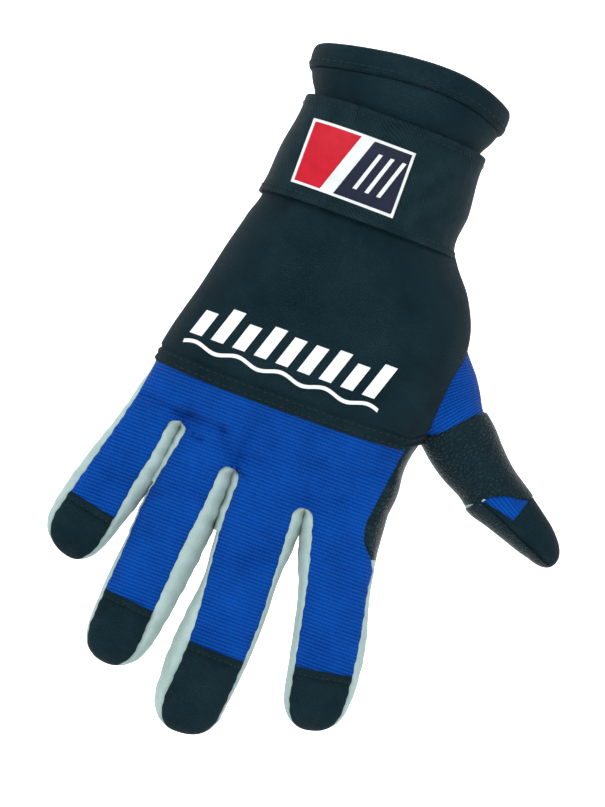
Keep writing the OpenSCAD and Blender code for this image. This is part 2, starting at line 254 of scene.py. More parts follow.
def cuff_surface(angle, z, offset):
    """Point on the cuff: a superellipse across whose half-width and half-depth follow z, grown
    by offset. Near the opening, z is raised by the rim's bow, which depends on u, the place
    across, alone."""
    angle, z, offset = np.broadcast_arrays(np.asarray(angle, float), z, offset)
    u = signed_power(np.cos(angle), 2 / ROUND)
    v = signed_power(np.sin(angle), 2 / ROUND)
    middle, half = span(z, CUFF_Z, CUFF_LEFT, CUFF_RIGHT)
    back, palm = along(z, CUFF_Z, CUFF_BACK), along(z, CUFF_Z, CUFF_PALM)
    x = middle + (half + offset) * u
    y = (palm - back) / 2 + ((palm + back) / 2 + offset) * v
    bow = along(u, RIM_ACROSS, RIM_RISE) * ease((z + 21) / 13)
    return np.stack([x, y, z + bow], -1)


def cuff_piece(name, profile, steps, material):
    """A profile of (offset, z) points carried round the cuff and closed on itself."""
    profile = np.array(profile, float)
    reach = distance_along(profile)
    pace = np.linspace(0, reach[-1], steps)
    offset, z = np.interp(pace, reach, profile[:, 0]), np.interp(pace, reach, profile[:, 1])
    angle = np.linspace(0, 2 * math.pi, 145)
    points = cuff_surface(angle[None, :], z[:, None], offset[:, None])
    uv = np.stack(np.broadcast_arrays(angle[None, :] * CUFF_RADIUS, pace[:, None]), -1)
    return sheet(name, points, uv, material, weld=True)


sleeve = cuff_piece("cuff_sleeve", [(-2.5, -59.5), (-2.5, -30), (-2.5, -12), (-0.6, -9.4),
                                    (0.1, -10.6), (0.0, -14), (0, -30), (0, -59.0),
                                    (-0.6, -59.7), (-2.5, -59.5)], 110, neoprene)
hem = cuff_piece("cuff_hem_fold", [(-0.4, -9.9), (0.5, -10.0), (1.15, -9.3), (1.25, -8.0),
                                   (1.15, -7.2), (1.3, -5.5), (1.25, -3.6), (0.7, -2.3),
                                   (-0.6, -1.5), (-1.9, -1.8), (-2.7, -3.0), (-2.9, -5.0),
                                   (-2.8, -8.6), (-2.4, -9.6), (-1.2, -9.9), (-0.4, -9.9)],
                 60, neoprene)
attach(sleeve, "cuff")
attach(hem, "cuff")
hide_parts("cuff_back", "cuff_palm")
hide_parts("cuff_hem")


# ---------------------------------------------------------------------------
# Thread: every visible seam is a row of lockstitches. Each stitch is a short spindle of
# thread, 12 corners, laid along the seam and sunk a little into the cloth.

def twist_height(tree, place):
    """Fine diagonal twist along each stitch, 0.35 mm apart."""
    across, down = axes_of(tree, place)
    return wave(tree, sum_of(tree, across, down), 0.35)


def twist_colour(tree, place):
    """Black polyester, with a painted highlight on the crests of the twist."""
    # painted highlight: the colour follows twist_height, lighter on the crests
    return between(tree, twist_height(tree, place), (0.004, 0.011, 0.015),
                   (0.012, 0.024, 0.030))


black_thread = finish_material("black_thread", twist_colour, twist_height, 0.03, Roughness=0.55,
                               Specular_IOR_Level=0.2)


def stitches(name, path, outward, material, pitch=2.6, length=2.0, thick=0.36):
    """Spindles along a path of points in mm. Each has a five-sided ring a fifth of its length
    from each end and a point at each end; outward is the path's normal, point by point."""
    path, outward = np.asarray(path, float), np.asarray(outward, float)
    reach = distance_along(path)
    start = np.arange(pitch / 2, reach[-1] - length, pitch)

    def at(s, values):
        """The path's values at distances s along it."""
        return np.stack([np.interp(s, reach, values[:, k]) for k in range(3)], -1)

    a, b = at(start, path), at(start + length, path)
    up = at(start + length / 2, outward)
    run = (b - a) / np.linalg.norm(b - a, axis=1)[:, None]
    side = np.cross(run, up)
    side /= np.linalg.norm(side, axis=1)[:, None]
    up = np.cross(side, run)
    turn = np.linspace(0, 2 * math.pi, 6)[:5]
    spoke = (side[:, None] * np.cos(turn)[None, :, None]
             + up[:, None] * np.sin(turn)[None, :, None]) * thick / 2
    lift = up * thick * 0.25
    first = (a + (b - a) * 0.2 + lift)[:, None] + spoke
    last = (a + (b - a) * 0.8 + lift)[:, None] + spoke
    corners = np.concatenate([(a - up * thick * 0.3)[:, None], first, last,
                              (b - up * thick * 0.3)[:, None]], axis=1)
    ring = np.arange(5)
    after = (ring + 1) % 5
    faces = ([[0, 1 + i, 1 + j] for i, j in zip(after, ring)]
             + [[1 + j, 1 + i, 6 + i, 6 + j] for i, j in zip(after, ring)]
             + [[6 + j, 6 + i, 11] for i, j in zip(after, ring)])
    count = len(start)
    every = [[int(c) + 12 * k for c in face] for k in range(count) for face in faces]
    around = [0.3 * (1 + i) for i in range(5)]
    uv = np.stack([np.tile([0, *around, *around, 0], count),
                   np.tile([0] + [0.4] * 5 + [1.6] * 5 + [2.0], count)], -1)
    return sewn_piece(name, corners, every, uv, material)


HEM_ROW, HEM_PROUD = -8.1, 1.25
path = cuff_surface(np.linspace(0, 2 * math.pi, 400), HEM_ROW, HEM_PROUD)
row = stitches("cuff_hem_stitches", path, path * [1, 1, 0], black_thread)
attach(row, "cuff")


# ---------------------------------------------------------------------------
# Wrist strap: 36 mm woven elastic, sewn down at the little finger's side, passed over the back
# of the wrist and closed on the thumb's side with a hook patch on a loop patch.

def twill_height(tree, place):
    """Diagonal twill lines, 1.1 mm apart along the strap, over fine rows of weft."""
    across, down = axes_of(tree, place)
    return sum_of(tree, wave(tree, sum_of(tree, across, down, 0.8), 1.1),
                  wave(tree, down, 0.5), 0.4)


def twill_colour(tree, place):
    """Black yarn with a painted highlight on the raised diagonals, and slow patches of wear."""
    across, down = axes_of(tree, place)
    # painted highlight: lines repeats the raised diagonals of twill_height, drawn lighter
    lines = wave(tree, sum_of(tree, across, down, 0.8), 1.1)
    return between(tree, sum_of(tree, noise(tree, place, 0.15), lines, 0.4),
                   (0.002, 0.008, 0.011), (0.010, 0.023, 0.029), 0.4, 1.1)


webbing = finish_material("elastic_webbing", twill_colour, twill_height, 0.09,
                          Roughness=0.7, Specular_IOR_Level=0.16,
                          Specular_Tint=(0.3, 0.65, 0.8, 1))

STRAP_TOP, STRAP_LOW = -20.6, -56.9
STRAP_IN, STRAP_OUT = 1.4, 3.4      # its two faces, out from the cuff
STRAP_RADIUS = 33
STRAP_MARGIN = 2.4      # from its edges to its rows of stitches


def strap_length(name, angle_from, angle_to, count):
    """A rounded flat section, a superellipse, carried round the cuff from one angle to
    another, in degrees, and drawn together at both ends."""
    turn = np.linspace(0, 2 * math.pi, 73)
    middle, half = (STRAP_IN + STRAP_OUT) / 2, (STRAP_OUT - STRAP_IN) / 2
    offset = middle + half * signed_power(np.sin(turn), 0.35)
    z = ((STRAP_TOP + STRAP_LOW) / 2
         + (STRAP_TOP - STRAP_LOW) / 2 * signed_power(np.cos(turn), 0.8))
    angle = np.radians(np.linspace(angle_from, angle_to, count))
    angle = np.concatenate([angle[:1], angle, angle[-1:]])
    full = np.ones(len(angle))
    full[[0, -1]] = 0
    grown = middle + (offset[None, :] - middle) * full[:, None]
    points = cuff_surface(angle[:, None], z[None, :], grown)
    uv = np.stack(np.broadcast_arrays(angle[:, None] * STRAP_RADIUS, z[None, :]), -1)
    return sheet(name, points, uv, webbing, weld=True)


strap_sewn = strap_length("strap_sewn_end", 109, 252, 110)
strap_free = strap_length("strap_free_end", 252, 367.5, 100)
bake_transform(strap_sewn)
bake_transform(strap_free)
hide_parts("strap_base", "strap_band")
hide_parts("strap_tab")


def strap_row(name, z, angle_from, angle_to):
    """A row of stitches along the strap, a little inside its edge."""
    angle = np.radians(np.linspace(angle_from, angle_to, 240))
    path = cuff_surface(angle, z, STRAP_OUT - 0.03)
    row = stitches(name, path, path * [1, 1, 0], black_thread, pitch=2.2,
                   length=1.7, thick=0.3)
    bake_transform(row)


for edge, z in (("upper", STRAP_TOP - STRAP_MARGIN), ("lower", STRAP_LOW + STRAP_MARGIN)):
    strap_row(f"strap_{edge}_stitches_sewn", z, 111, 251)
    strap_row(f"strap_{edge}_stitches_free", z, 252, 366)


def pile_height(tree, place):
    """Close-set hooks or loops: small round lumps 0.7 mm apart."""
    cells = node(tree, "ShaderNodeTexVoronoi", Vector=place, Scale=1.4)
    return node(tree, "ShaderNodeMath", {"operation": "SUBTRACT"}, i0=1.0,
                i1=cells.outputs["Distance"]).outputs[0]


def pile_colour(tree, place):
    """Black nylon, with a painted highlight at the tips of the pile and painted shade between
    them.
    """
    # painted highlight on the pile tips and painted shade between them, from pile_height
    return between(tree, pile_height(tree, place), (0.001, 0.003, 0.004),
                   (0.010, 0.016, 0.019), 0.3, 1.0)


pile = finish_material("hook_and_loop", pile_colour, pile_height, 0.35, Roughness=0.6,
                       Specular_IOR_Level=0.2)


PATCH_RADIUS = 31


def cuff_patch(name, angles, heights, offset, wall, body, node_name, material):
    """A patch laid on the cuff between two angles, in degrees, and two heights."""
    angle = np.radians(np.linspace(*angles, 60))
    z = np.linspace(*heights, 60)
    points = cuff_surface(angle[None, :], z[:, None], offset)
    uv = np.stack(np.broadcast_arrays(angle[None, :] * PATCH_RADIUS, z[:, None]), -1)
    middle = math.radians(sum(angles) / 2)
    piece = sheet(name, points, uv, material, wall=wall,
                  away=(math.cos(middle), math.sin(middle), 0))
    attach(piece, body)
    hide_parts(node_name)


cuff_patch("loop_pile", (-42, 26), (-24, -54), 0.6, 0.6, "cuff", "loop_patch", pile)
cuff_patch("hook_pile", (-36, 4), (-25, -53), 1.38, 0.55, "strap_end", "hook_patch", pile)
cuff_patch("wrist_gathers", (8, 172), (-34, -46), -2.5, 0.8, "cuff", "wrist_elastic", webbing)


# ---------------------------------------------------------------------------
# Label: a flexible moulded rectangle glued to the strap. On a white plate lie a red and a
# navy field with slanted edges, and three white bars, each raised a little.

def moulded(name, dark, light):
    """Smooth soft plastic with a faint mottle and a fine satin grain."""
    return finish_material(
        name, lambda tree, place: between(tree, noise(tree, place, 0.25), dark, light, 0.3, 0.7),
        lambda tree, place: noise(tree, place, 2.5), 0.03, Roughness=0.5,
        Specular_IOR_Level=0.2)


label_white = moulded("label_white", (0.60, 0.63, 0.64), (0.74, 0.77, 0.78))
label_red = moulded("label_red", (0.40, 0.001, 0.012), (0.50, 0.003, 0.020))
label_navy = moulded("label_navy", (0.003, 0.006, 0.020), (0.006, 0.011, 0.032))


LABEL_WIDE, LABEL_HIGH = 36, 21         # about the plate's, for the width of the rim
LABEL_EDGE, LABEL_DROP = 0.5, 0.25      # the rounded rim's width and depth


def label_field(name, corners, lift, wall, material):
    """A four-cornered field on the strap: corners (x, z) blended across the grid, and the
    depth that of the strap's outer face, raised by lift and rounded down at the rim."""
    u, v = np.meshgrid(np.linspace(0, 1, 60), np.linspace(0, 1, 36))
    a, b, c, d = (np.array(corner, float) for corner in corners)
    flat = ((1 - u) * (1 - v))[..., None] * a + (u * (1 - v))[..., None] * b \
        + (u * v)[..., None] * c + ((1 - u) * v)[..., None] * d
    x, z = flat[..., 0], flat[..., 1]
    middle, half = span(z, CUFF_Z, CUFF_LEFT, CUFF_RIGHT)
    back, palm = along(z, CUFF_Z, CUFF_BACK), along(z, CUFF_Z, CUFF_PALM)
    rim = np.minimum(np.minimum(u, 1 - u) * LABEL_WIDE, np.minimum(v, 1 - v) * LABEL_HIGH)
    grow = STRAP_OUT + lift - LABEL_DROP * (1 - ease(rim / LABEL_EDGE))
    y = (palm - back) / 2 - ((palm + back) / 2 + grow) * arch(x, middle, half + grow)
    piece = sheet(name, np.stack([x, y, z], -1), flat, material, wall=wall,
                  away=(0, -1, 0))
    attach(piece, "strap")
    return piece


plate = label_field("label_plate", [(-27, -28.9), (9.4, -29.2), (9.4, -52.3), (-27, -51.9)],
                    0.65, 0.8, label_white)
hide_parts("strap_label")
label_field("label_stripe_red", [(-26.1, -29.8), (-9.5, -29.9), (-16.9, -51.3), (-26.1, -51.1)],
            0.85, 0.35, label_red)
label_field("label_stripe_navy", [(-4.9, -30.0), (8.5, -30.1), (8.5, -51.4), (-12.3, -51.3)],
            0.85, 0.35, label_navy)
for number in range(3):
    inner = 1.6 + 4.2 * number      # how far the bar stands in from the navy field's edge
    label_field(f"label_bar_{number + 1}",
                [(-3.7 + inner, -33.6), (-2.3 + inner, -33.6), (-6.9 + inner, -47.6),
                 (-8.3 + inner, -47.6)], 1.0, 0.3, label_white)


# ---------------------------------------------------------------------------
# Back panel: black neoprene from under the strap to the knuckles. Its lower edge is turned
# under and sewn with two rows of stitches over the top of the knuckle panel.

# The hand's outline at each height: x of its sides, depth of its back and of its palm.
HAND_Z = [-163, -147, -140, -126, -118, -110, -104, -95, -85, -78, -68, -60, -55]
HAND_LEFT = [-58.0, -55.6, -53.6, -50.4, -49.6, -48.0, -46.4, -43.9, -41.6, -40.0, -37.4,
             -35.6, -34.8]
HAND_RIGHT = [44.5, 43.4, 43.2, 43.2, 45.4, 47.2, 47.9, 48.4, 48.6, 47.4, 42.9, 37.4, 34.0]
HAND_BACK = [8.0, 11.2, 12.4, 15.4, 16.8, 18.0, 18.7, 19.6, 20.6, 21.2, 22.0, 22.0, 21.4]
HAND_PALM = [8.0, 10.6, 11.6, 15.0, 16.6, 18.4, 19.6, 21.0, 21.9, 22.2, 22.2, 21.6, 20.9]
PANEL_TOP = -54.5       # under the strap
HEM_Z = -125.6


def back_surface(angle, z, offset=0.0):
    """Point on the back of the hand: the upper half of a superellipse whose half-width and
    depth follow z. angle runs from 0 at the thumb's side to pi at the little finger's."""
    angle, z, offset = np.broadcast_arrays(np.asarray(angle, float), z, offset)
    middle, half = span(z, HAND_Z, HAND_LEFT, HAND_RIGHT)
    u, v = signed_power(np.cos(angle), 2 / ROUND), signed_power(np.sin(angle), 2 / ROUND)
    x = middle + (half + offset) * u
    y = -(along(z, HAND_Z, HAND_BACK) + offset) * v
    return np.stack([x, y, z], -1)


def hem_z(angle):
    """Height of the panel's lower edge: HEM_Z, 1.6 mm higher at both sides, and 3.2 mm more
    at the thumb's corner."""
    return (HEM_Z + 1.6 * np.cos(np.clip(angle, 0, math.pi)) ** 2
            + 3.2 * ease((np.cos(angle) - 0.86) / 0.14))


# The panel stands 1 mm off the hand, and 0.2 mm under the strap. The hem shows as a groove
# along its upper edge, 5.3 mm up, a shallow one between the two rows of stitches, 2.7 mm up,
# and a lower edge that rolls under.
angle, share = np.meshgrid(np.linspace(-0.05, math.pi + 0.05, 161), np.linspace(0, 1, 150))
z = PANEL_TOP + (hem_z(angle) - PANEL_TOP) * share
edge = z - hem_z(angle)
fold = (1.0 - 0.75 * np.exp(-((edge - 5.3) / 0.55) ** 2) - 1.0 * (1 - ease(edge / 0.9))
        - 0.35 * np.exp(-((edge - 2.7) / 0.8) ** 2))
fold = 0.2 + (fold - 0.2) * ease((-58 - z) / 8)
back_panel = sheet("back_panel", back_surface(angle, z, fold), np.stack([-angle * 42, z], -1),
                   neoprene, wall=1.6, away=(0, -1, 0))
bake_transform(back_panel)
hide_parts("back_panel", "back_hem")

for row, above in (("lower", 1.3), ("upper", 4.1)):
    angle = np.linspace(0.03, math.pi - 0.03, 500)
    path = back_surface(angle, hem_z(angle) + above, 0.93)
    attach(stitches(f"hem_{row}_stitches", path, path * [1, 1, 0] + [0, -20, 0],
                     black_thread), "hand")


# ---------------------------------------------------------------------------
# Print on the back panel: a row of slanted bars whose tops follow a wave, over a thin waved
# line, in thick white ink that has cracked a little.

ink = finish_material(
    "white_ink",
    lambda tree, place: between(tree, sum_of(tree, noise(tree, place, 0.3),
                                             noise(tree, place, 3.0), 0.4),
                                (0.55, 0.60, 0.61), (0.78, 0.81, 0.81), 0.3, 0.75),
    lambda tree, place: noise(tree, place, 1.8, 4.0), 0.05, Roughness=0.5)


def on_back(x, z, offset):
    """The back panel's point at a given x and z."""
    middle, half = span(z, HAND_Z, HAND_LEFT, HAND_RIGHT)
    y = -(along(z, HAND_Z, HAND_BACK) + offset) * arch(x, middle, half + offset)
    return np.stack([x, y, z], -1)


def ink_strip(name, x, z):
    """A printed strip from its grid of x and z."""
    piece = sheet(name, on_back(x, z, 1.12), np.stack([x, z], -1), ink, wall=0.3,
                  away=(0, -1, 0))
    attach(piece, "hand")
    return piece


BARS, BAR_PITCH, BAR_WIDE, BAR_HIGH, BAR_LOWER = 9, 7.75, 4.4, 12.4, 3.4
PRINT_LEFT, PRINT_FOOT = -42, -111
WAVES, WAVE_LONG = 4.5, 70      # along the thin line, whose middle is 3.3 mm below the bars
for number in range(BARS):
    high = BAR_HIGH - BAR_LOWER * math.cos(number * 2 * math.pi / WAVES) ** 2
    u, v = np.meshgrid(np.linspace(0, 1, 14), np.linspace(0, 1, 24))
    bar = ink_strip(f"print_bar_{number + 1}",
                    PRINT_LEFT + number * BAR_PITCH + BAR_WIDE * u + high / 3 * v,
                    PRINT_FOOT + high * v)
    if number == 0:
        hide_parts("back_print")
u, v = np.meshgrid(np.linspace(0, 1, 160), np.linspace(0, 1, 5))
ink_strip("print_wave", PRINT_LEFT - 1 + WAVE_LONG * u,
          PRINT_FOOT - 3.3 + 0.9 * np.sin(u * 2 * math.pi * WAVES) + 1.3 * (v - 0.5))


# ---------------------------------------------------------------------------
# Knuckle panel: one piece of blue ribbed stretch knit over the knuckles, which runs on into
# the backs of the four fingers.

def rib_height(tree, place):
    """Ribs across the glove 1.25 mm apart, each a row of small knitted loops."""
    across, down = axes_of(tree, place)
    rows = sum_of(tree, wave(tree, down, 1.25), wave(tree, across, 1.0), 0.4)
    return sum_of(tree, rows, noise(tree, place, 1.2), 0.6)


def rib_colour(tree, place):
    """Royal blue, with painted shade between the ribs and between the loops, and slow uneven
    patches of tone.
    """
    across, down = axes_of(tree, place)
    # painted shade: rows repeats the rib and loop waves of rib_height, so the valleys come out
    # darker
    rows = sum_of(tree, wave(tree, down, 1.25), wave(tree, across, 1.0), 0.35)
    # uneven is that painted shade plus random patches of tone
    uneven = sum_of(tree, product(tree, rows, 0.5), noise(tree, place, 0.07, 5.0), 0.75)
    return between(tree, uneven, (0.0005, 0.016, 0.130), (0.002, 0.070, 0.400), 0.22, 1.0)


knit = finish_material("ribbed_knit", rib_colour, rib_height, 0.34, Roughness=0.75,
                       Sheen_Weight=0.05, Sheen_Roughness=0.35, Specular_IOR_Level=0.15,
                       Specular_Tint=(0.2, 0.7, 1, 1))

# Each finger: the middle of its root (x, z), its lean towards the thumb in degrees, its length
# and its middle joint, where its cap starts, how far off its line the tip is, and its outlines
# as (distance along, distance aside): the back's two seams and the finger's two sides.
FINGERS = {
    "little": dict(root=(-45.4, -141), lean=-12, length=57.8, joint=24, cap=37.5, tip=1.6,
                   seam_l=([-13, 6, 21, 40, 50], [-6.9, -7.3, -8.1, -9.2, -9.6]),
                   seam_r=([0, 12.6, 23, 36, 50], [7.2, 8.0, 7.9, 8.5, 8.8]),
                   side_l=([-10, 6, 22, 37, 49], [-8.4, -9.2, -11.0, -12.2, -12.2]),
                   side_r=([0, 16, 27, 42, 50], [11.5, 13.4, 12.8, 11.2, 10.4])),
    "ring": dict(root=(-23.8, -145), lean=-5, length=83.4, joint=34.9, cap=59.5, tip=-0.4,
                 seam_l=([-2, 11, 26, 46, 58, 76], [-8.2, -9.8, -11.3, -10.7, -10.6, -10.2]),
                 seam_r=([3, 19, 35, 50, 61, 76], [7.9, 8.0, 7.5, 7.6, 7.7, 8.0]),
                 side_l=([0, 16, 27, 35, 45, 56, 76],
                         [-10.6, -10.9, -11.0, -11.2, -11.8, -12.0, -11.2]),
                 side_r=([4, 14, 34, 49, 64, 76], [12.6, 13.6, 14.1, 13.6, 12.6, 11.2])),
    "middle": dict(root=(1.2, -152), lean=-1, length=90, joint=37.8, cap=58.5, tip=-0.2,
                   seam_l=([0, 18, 33, 48, 58, 80], [-10.6, -10.3, -8.8, -7.1, -6.6, -7.6]),
                   seam_r=([0, 13, 28, 43, 59, 80], [10.6, 11.6, 12.7, 13.7, 13.5, 12.4]),
                   side_l=([0, 8, 23, 38, 48, 68, 80], [-12, -11.7, -11.2, -9.9, -10.9,
                                                        -12.0, -11.3]),
                   side_r=([0, 8, 17, 28, 43, 63, 80],
                           [15.0, 15.5, 15.4, 14.7, 15.3, 14.8, 13.0])),
    "index": dict(root=(29.8, -155), lean=9.5, length=72.2, joint=30.5, cap=50.5, tip=0.4,
                  seam_l=([-2, 8, 24, 39, 49, 64], [-11.0, -9.8, -8.5, -8.0, -7.7, -7.4]),
                  seam_r=([-9, 1, 6, 10.5, 22, 38, 51, 64],
                          [9.2, 7.3, 8.7, 11.6, 12.2, 12.7, 12.4, 11.4]),
                  side_l=([0, 8, 16, 24, 39, 47, 64],
                          [-14.4, -14.0, -12.9, -11.3, -10.2, -9.9, -9.4]),
                  side_r=([-12, 10, 26, 38, 53, 64], [15.0, 13.3, 13.8, 15.2, 14.9, 13.2])),
}
# The crotches (x, z) from the little finger's outer side, which has none, to the index
# finger's, and how far along those two fingers the outer sides' seams begin.
CROTCHES = [None, (-34.5, -140.5), (-13.5, -149.5), (15.5, -154), None]
OUTER_START = {"little": -3.0, "index": -6.0}
CROTCH_ROUND = 3.4      # radius of a seam's turn out of its crotch
KNUCKLE_TOP = -119.0
TIP_ROUND = 12.5        # how far from the tip its rounding begins
FINGER_DEEP, TIP_DEEP = 19, 15      # thickness at the root and at the tip
SOFT = 0.8              # how softly the fingers' domes run together
# The hand starts to turn into the fingers at WEB_TOP, and has done so WEB_PAST beyond the line
# (x, z) through the crotches and both outer sides.
WEB_TOP, WEB_PAST = -121, 5
WEB_X, WEB_Z = zip((-52, -139), *CROTCHES[1:4], (45, -160))


def on_plan(finger, s, t):
    """x and z of a point s aside and t along a finger."""
    lean = math.radians(finger["lean"])
    x0, z0 = finger["root"]
    return (x0 + s * math.cos(lean) + t * math.sin(lean),
            z0 + s * math.sin(lean) - t * math.cos(lean))


def on_finger(finger, x, z):
    """s and t of a point: its distances aside from a finger's middle line and along it."""
    lean = math.radians(finger["lean"])
    dx, dz = x - finger["root"][0], z - finger["root"][1]
    return (dx * math.cos(lean) + dz * math.sin(lean),
            dx * math.sin(lean) - dz * math.cos(lean))


def closing(finger, t):
    """1 along the finger, then down to 0 at the tip: (1 - u^2.3)^(1/2.3) over TIP_ROUND."""
    u = np.clip((t - finger["length"] + TIP_ROUND) / TIP_ROUND, 0, 1)
    return (1 - u ** 2.3) ** (1 / 2.3)


def outline(finger, key, t):
    """Distance aside of one of a finger's outlines, drawn in to the tip at the end."""
    return finger["tip"] + (along(t, *finger[key]) - finger["tip"]) * closing(finger, t)


# Folds in the knit: x and z of both ends, depth and half-width.
CREASES = [(-50, -136.6, -36, -138.6, 1.5, 1.5), (-36, -138.0, -31, -138.2, 1.5, 1.5),
           (-31, -138.2, -20, -138.6, 1.7, 1.6), (-20, -138.6, -15.2, -144.5, 1.5, 1.3),
           (-50, -126.5, -40, -132, 1.0, 1.6), (-12, -145.5, -3, -143.5, 1.0, 1.6),
           (16, -151, 25, -148, 0.9, 1.6), (28, -138, 37, -133, 0.8, 1.8),
           (-30, -163, -22, -160.5, 0.7, 1.7), (1, -178, 11, -175, 0.7, 1.8),
           (27, -180, 38, -178, 0.7, 1.8), (-52, -158, -44, -160, 0.6, 1.6),
           (-6, -196, 4, -198, 0.6, 1.8), (31, -164, 40, -160, 0.7, 1.8)]


def crease(x, z):
    """Depth of the folds pressed into the knit: along each line a valley, exp(-(off/wide)^2),
    with a ridge half as high beside it, both fading past the line's ends."""
    down = np.zeros(np.shape(x))
    for x0, z0, x1, z1, deep, wide in CREASES:
        long = math.hypot(x1 - x0, z1 - z0)
        run = ((x - x0) * (x1 - x0) + (z - z0) * (z1 - z0)) / long
        off = ((x - x0) * (z1 - z0) - (z - z0) * (x1 - x0)) / long
        past = np.maximum(np.maximum(-run, run - long), 0)
        down = down + deep * (np.exp(-(off / wide) ** 2) - 0.5 * np.exp(
            -((off - 2 * wide) / wide) ** 2)) * np.exp(-(past / 2.5) ** 2)
    return down


def skin_y(x, z, face):
    """y of the glove's back (face -1) or palm (face 1) at x and z. Over the hand it is the
    superellipse. Along the fingers it is the farthest of four domes, joined softly as the
    logarithm of a sum of exponentials. From WEB_TOP to just past the crotches the one turns
    into the other. Folds and slow lumps come on top."""
    depth = along(z, HAND_Z, HAND_BACK if face < 0 else HAND_PALM)
    hand = depth * arch(x, *span(z, HAND_Z, HAND_LEFT, HAND_RIGHT))
    soft = np.zeros(np.shape(x))
    for finger in FINGERS.values():
        s, t = on_finger(finger, x, z)
        high = FINGER_DEEP - (FINGER_DEEP - TIP_DEEP) * np.clip(t / (finger["length"] - 8), 0, 1)
        middle = (FINGER_DEEP - high) / 2       # the palm's side stays level, the back drops
        left, right = outline(finger, "side_l", t), outline(finger, "side_r", t)
        q = np.clip(np.abs(s - (left + right) / 2) / np.maximum((right - left) / 2, 0.1), 0, 1.3)
        dome = (1 - 0.25 * q ** 2.4 - 0.27 * q ** 6 if face < 0
                else 1 - 0.16 * q ** 3 - 0.3 * q ** 8)
        dome = np.maximum(dome, 0.12) * high / 2 * closing(finger, t)
        soft = soft + np.exp((dome + face * middle) / SOFT)
    fingers = SOFT * np.log(soft)
    web = np.interp(x, WEB_X, WEB_Z)
    share = ease((z - WEB_TOP) / (web - WEB_PAST - WEB_TOP))
    y = face * ((1 - share) * hand + share * fingers)
    lumps = np.sin(0.31 * x + 0.22 * z) * np.sin(0.27 * z - 0.19 * x + 1.3)
    return y + (crease(x, z) * ease((-y - 2) / 6) if face < 0 else 0) + 0.3 * lumps * share


def seam_rows(name, side, face, split, begin=None):
    """A finger seam from its crotch, or from begin, to split, as (s, t): a quarter circle out
    of the crotch, then the outline, wandering 0.2 mm. side is l or r, face -1 or 1; the
    palm's seams lie farther out."""
    finger = FINGERS[name]
    order = list(FINGERS).index(name)
    crotch = CROTCHES[order + (side == "r")]

    def seam(t):
        """Distance aside of the seam on this face."""
        inner, outer = outline(finger, "seam_" + side, t), outline(finger, "side_" + side, t)
        return inner if face < 0 else inner + 0.45 * (outer - inner)

    if crotch is None:
        start = OUTER_START[name]
        start_s = float(seam(start))
    else:
        start_s, start = on_finger(finger, *crotch)
    if begin is None:
        t = np.concatenate([start + CROTCH_ROUND * (1 - np.cos(np.linspace(0, math.pi / 2, 10))),
                            np.linspace(start + CROTCH_ROUND, split, 34)[1:]])
    else:
        t = begin + (split - begin) * np.sin(np.linspace(0, math.pi / 2, 56)) ** 1.4
    round_off = 1 - np.sqrt(1 - (1 - np.clip((t - start) / CROTCH_ROUND, 0, 1)) ** 2)
    drawn = 0.2 * np.sin(t * 1.25 + 2 * order) * np.sin(t * 0.37) * closing(finger, t)
    return seam(t) + drawn * (1 - round_off) + (start_s - seam(t)) * round_off, t


# Places across a strip of cloth, from 0 to 1, closest together beside its seams.
LATERAL = (1 - np.cos(np.linspace(0, math.pi, 27))) / 2
SEAM_WIDE, SEAM_DEEP = 1.5, 0.65


def seam_dip(distance, ramp):
    """How far cloth turns in towards the seam beside it: a quarter of an ellipse, SEAM_WIDE
    wide and SEAM_DEEP deep, times ramp."""
    near = 1 - np.clip(distance / SEAM_WIDE, 0, 1)
    return SEAM_DEEP * (1 - np.sqrt(1 - near ** 2)) * ramp


def seam_ramp(t, begin):
    """How deep a seam lies: flush at the crotch, full depth 6 mm on. A run that begins
    farther along is at full depth throughout."""
    return ease((t - t[0]) / 6) if begin is None else np.ones(len(t))


def strip_points(finger, left, right, face, ramp):
    """Grid across a finger between its two seams, given as (s, t) rows."""
    s = left[0][:, None] + (right[0] - left[0])[:, None] * LATERAL[None, :]
    t = left[1][:, None] + (right[1] - left[1])[:, None] * LATERAL[None, :]
    x, z = on_plan(finger, s, t)
    edge = np.minimum(s - left[0][:, None], right[0][:, None] - s)
    y = skin_y(x, z, face) - face * seam_dip(edge, ramp[:, None])
    return np.stack([x, y, z], -1)


def knuckle_grid(face, edge_top):
    """x and z of a grid from the line at KNUCKLE_TOP, between the two x of edge_top, to the
    line through the crotches, where the finger strips' seams start."""
    x, z = [], []
    for name, finger in FINGERS.items():
        (s_l, t_l), (s_r, t_r) = (
            (s[0], t[0]) for s, t in (seam_rows(name, side, face, finger["joint"])
                                      for side in "lr"))
        px, pz = on_plan(finger, s_l + (s_r - s_l) * LATERAL, t_l + (t_r - t_l) * LATERAL)
        first = 0 if name == "little" else 1
        x.append(px[first:])
        z.append(pz[first:])
    x, z = np.concatenate(x), np.concatenate(z)
    part = (x - x[0]) / (x[-1] - x[0])
    v = np.linspace(0, 1, 46)[:, None]
    top = edge_top[0] + (edge_top[1] - edge_top[0]) * part
    return top + (x - top) * v, KNUCKLE_TOP + (z - KNUCKLE_TOP) * v


BACK_TOP, PALM_TOP = (-49.2, 41.2), (-49.6, 43.6)       # x of both ends at KNUCKLE_TOP
gx, gz = knuckle_grid(-1, BACK_TOP)
gy = skin_y(gx, gz, -1)
knuckles = sheet("knuckle_panel", np.stack([gx, gy, gz], -1), np.stack([gx, gz], -1), knit,
                 wall=1.0, away=(0, -1, 0))
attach(knuckles, "hand")
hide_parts("knuckle_panel")


# ---------------------------------------------------------------------------
# Finger backs and tips: each back is a narrow strip of the same knit between two seams, made
# here in two lengths that meet between the knuckle and the middle joint. It ends in a black
# neoprene cap with a rolled, sewn edge.

